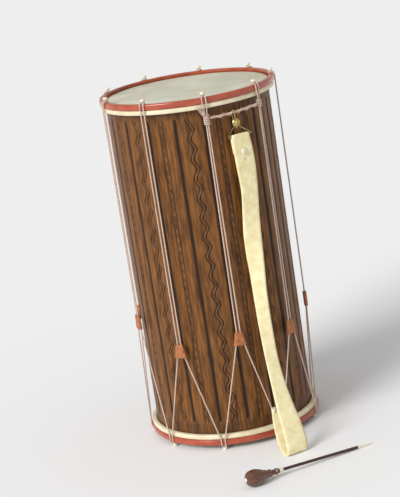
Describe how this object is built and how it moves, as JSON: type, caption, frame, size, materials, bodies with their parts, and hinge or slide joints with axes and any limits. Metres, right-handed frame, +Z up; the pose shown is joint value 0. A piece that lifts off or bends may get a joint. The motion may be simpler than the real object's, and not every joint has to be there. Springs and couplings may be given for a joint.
{
  "type": "long rope-tensioned drum with strap and stick",
  "caption": "Long two-headed drum with fluted wooden shell, rope tensioning with sliding leather tugs, carrying strap and turned stick.",
  "frame": {"origin": "centre of the lower head's outer face, on the drum's axis", "axes": "+Z up along the drum's axis; -Y is the side with the carrying strap and the stick"},
  "size_m": [0.4324, 0.5675, 0.7201],
  "materials": {
    "walnut": "waxed",
    "red_paint": "gloss red paint on wood",
    "ash": "bare",
    "vellum": "vellum",
    "bone": "polished bone",
    "cord": "twisted hemp",
    "tug_leather": "worn",
    "brass": "polished",
    "strap_leather": "pale alum-tawed leather",
    "thong": "pale",
    "turned_wood": "polished",
    "dark_wood": "polished"
  },
  "bodies": {
    "drum": {"shell": "walnut", "upper_head": "vellum", "lower_head": "vellum", "upper_flesh_hoop": "ash", "lower_flesh_hoop": "ash", "upper_counter_hoop": "red_paint", "lower_counter_hoop": "red_paint", "upper_peg_1": "bone", "upper_peg_2": "bone", "upper_peg_3": "bone", "upper_peg_4": "bone", "upper_peg_5": "bone", "upper_peg_6": "bone", "upper_peg_7": "bone", "upper_peg_8": "bone", "upper_peg_9": "bone", "lower_peg_1": "bone", "lower_peg_2": "bone", "lower_peg_3": "bone", "lower_peg_4": "bone", "lower_peg_5": "bone", "lower_peg_6": "bone", "lower_peg_7": "bone", "lower_peg_8": "bone", "lower_peg_9": "bone", "tension_cord": "cord", "cord_knot": "cord", "carrying_bar": "cord", "bar_wrapping": "cord", "bar_binding": "cord", "strap_hook": "brass"},
    "tug_1": {"tug_1": "tug_leather"},
    "tug_2": {"tug_2": "tug_leather"},
    "tug_3": {"tug_3": "tug_leather"},
    "tug_4": {"tug_4": "tug_leather"},
    "tug_5": {"tug_5": "tug_leather"},
    "tug_6": {"tug_6": "tug_leather"},
    "tug_7": {"tug_7": "tug_leather"},
    "tug_8": {"tug_8": "tug_leather"},
    "tug_9": {"tug_9": "tug_leather"},
    "strap": {"strap": "strap_leather", "strap_stud": "bone", "strap_ring": "brass", "strap_tie": "thong"},
    "stick": {"stick_head": "turned_wood", "stick_inlay": "bone", "stick_ferrule": "bone", "stick_shaft": "dark_wood", "stick_tip": "bone"}
  },
  "joints": [
    {"name": "tug_1_slide", "type": "slide", "parent": "drum", "child": "tug_1", "axis": [0, 0, 1], "range_m": [0, 0.36]},
    {"name": "tug_2_slide", "type": "slide", "parent": "drum", "child": "tug_2", "axis": [0, 0, 1], "range_m": [0, 0.36]},
    {"name": "tug_3_slide", "type": "slide", "parent": "drum", "child": "tug_3", "axis": [0, 0, 1], "range_m": [0, 0.36]},
    {"name": "tug_4_slide", "type": "slide", "parent": "drum", "child": "tug_4", "axis": [0, 0, 1], "range_m": [0, 0.36]},
    {"name": "tug_5_slide", "type": "slide", "parent": "drum", "child": "tug_5", "axis": [0, 0, 1], "range_m": [0, 0.36]},
    {"name": "tug_6_slide", "type": "slide", "parent": "drum", "child": "tug_6", "axis": [0, 0, 1], "range_m": [0, 0.36]},
    {"name": "tug_7_slide", "type": "slide", "parent": "drum", "child": "tug_7", "axis": [0, 0, 1], "range_m": [0, 0.36]},
    {"name": "tug_8_slide", "type": "slide", "parent": "drum", "child": "tug_8", "axis": [0, 0, 1], "range_m": [0, 0.36]},
    {"name": "tug_9_slide", "type": "slide", "parent": "drum", "child": "tug_9", "axis": [0, 0, 1], "range_m": [0, 0.36]},
    {"name": "strap_swing", "type": "hinge", "parent": "drum", "child": "strap", "pos_m": [0.07461, -0.15941, 0.043], "axis": [0.012, 0.0065, 0.9999], "range_deg": [-15, 15]},
    {"name": "stick_lift", "type": "slide", "parent": "drum", "child": "stick", "axis": [0, 0, 1], "range_m": [0, 0.25]}
  ]
}
